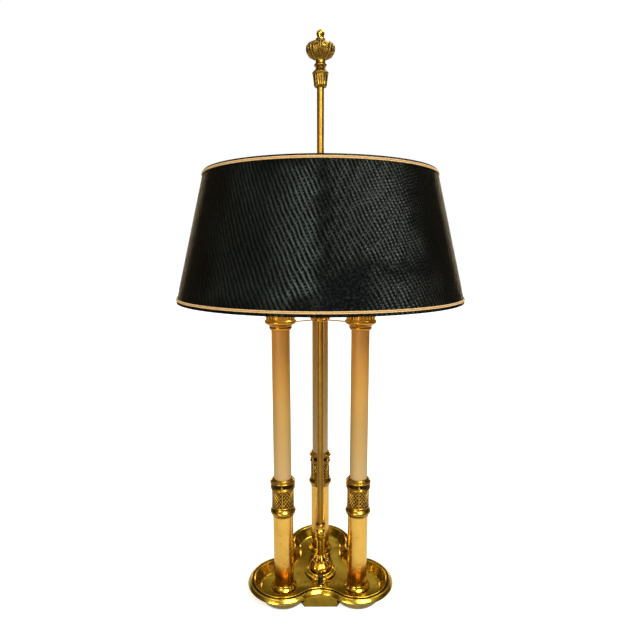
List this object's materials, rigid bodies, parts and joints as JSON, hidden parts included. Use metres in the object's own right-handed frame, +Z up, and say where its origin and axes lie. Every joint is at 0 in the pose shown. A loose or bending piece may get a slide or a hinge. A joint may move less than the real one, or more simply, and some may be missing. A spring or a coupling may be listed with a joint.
{
  "type": "bouillotte lamp",
  "caption": "Table lamp with brass candle columns on a lobed tray, a centre rod with finial, and a sliding cone shade.",
  "frame": {"origin": "on the axis of the centre rod, at the underside of the felt pad", "axes": "+Z up along the rod, -Y to the front, where the switch and one flat panel of the base are"},
  "size_m": [0.4075, 0.4076, 0.824],
  "materials": {
    "cast_brass": "polished, with olive-brown tarnish",
    "antique_brass": "chased, darkened in the recesses",
    "spun_brass": "spun and lacquered",
    "sleeve_brass": "bright rolled tube",
    "drawn_brass": "bright drawn rod",
    "candle_enamel": "aged ivory, amber towards the top",
    "zinc_steel": "zinc plated",
    "cast_iron": "as cast",
    "felt": "pressed wool",
    "phenolic": "moulded",
    "nickel": "dull nickel",
    "bulb_glass": "frosted",
    "leatherette": "embossed reptile grain",
    "liner_paper": "pale gold laminate",
    "shade_wire": "brass plated wire",
    "gold_braid": "twisted gold cord",
    "wire_sleeve": "insulated wire"
  },
  "bodies": {
    "stand": {"base_tray": "cast_brass", "base_weight": "cast_iron", "base_plate": "zinc_steel", "felt_pad": "felt", "base_screws": "zinc_steel", "cord_bushing": "phenolic", "switch_body": "phenolic", "switch_nut": "nickel", "centre_rod": "drawn_brass", "rod_nut": "zinc_steel", "rod_washer": "zinc_steel", "centre_disc": "cast_brass", "centre_ball": "cast_brass", "centre_stem": "cast_brass", "stem_ferrule": "antique_brass", "spreader_hub": "spun_brass", "spreader_arms": "spun_brass", "spreader_screw": "spun_brass", "rod_cup": "cast_brass", "finial_urn": "cast_brass", "finial_tip": "cast_brass", "finial_stud": "zinc_steel", "pipe_nuts": "zinc_steel", "pipe_washers": "zinc_steel", "lamp_wires": "wire_sleeve", "column_flange_left": "cast_brass", "column_flange_right": "cast_brass", "column_flange_back": "cast_brass", "column_sleeve_left": "sleeve_brass", "column_sleeve_right": "sleeve_brass", "column_sleeve_back": "sleeve_brass", "column_collar_left": "antique_brass", "column_collar_right": "antique_brass", "column_collar_back": "antique_brass", "candle_tube_left": "candle_enamel", "candle_tube_right": "candle_enamel", "candle_tube_back": "candle_enamel", "candle_cap_left": "spun_brass", "candle_cap_right": "spun_brass", "candle_cap_back": "spun_brass", "lamp_socket_left": "phenolic", "lamp_socket_right": "phenolic", "lamp_socket_back": "phenolic", "bulb_left": "bulb_glass", "bulb_right": "bulb_glass", "bulb_back": "bulb_glass", "threaded_pipe_left": "zinc_steel", "threaded_pipe_right": "zinc_steel", "threaded_pipe_back": "zinc_steel"},
    "carrier": {"slide_collar": "spun_brass"},
    "clamp_screw": {"thumb_screw": "spun_brass"},
    "switch": {"switch_knob": "phenolic"},
    "shade": {"shade_cover": "leatherette", "shade_liner": "liner_paper", "shade_top_ring": "shade_wire", "shade_bottom_ring": "shade_wire", "shade_spider": "shade_wire", "shade_trim_top": "gold_braid", "shade_trim_bottom": "gold_braid"}
  },
  "joints": [
    {"name": "shade_slide", "type": "slide", "parent": "stand", "child": "carrier", "axis": [0, 0, 1], "range_m": [-0.05, 0.1]},
    {"name": "shade_turn", "type": "hinge", "parent": "carrier", "child": "shade", "pos_m": [0, 0, 0.62], "axis": [0, 0, 1], "continuous": true},
    {"name": "thumb_screw_turn", "type": "hinge", "parent": "carrier", "child": "clamp_screw", "pos_m": [0, -0.015, 0.6087], "axis": [0, -1, 0], "range_deg": [0, 360]},
    {"name": "switch_turn", "type": "hinge", "parent": "stand", "child": "switch", "pos_m": [0, -0.0305, 0.03], "axis": [0, 0, 1], "continuous": true}
  ]
}
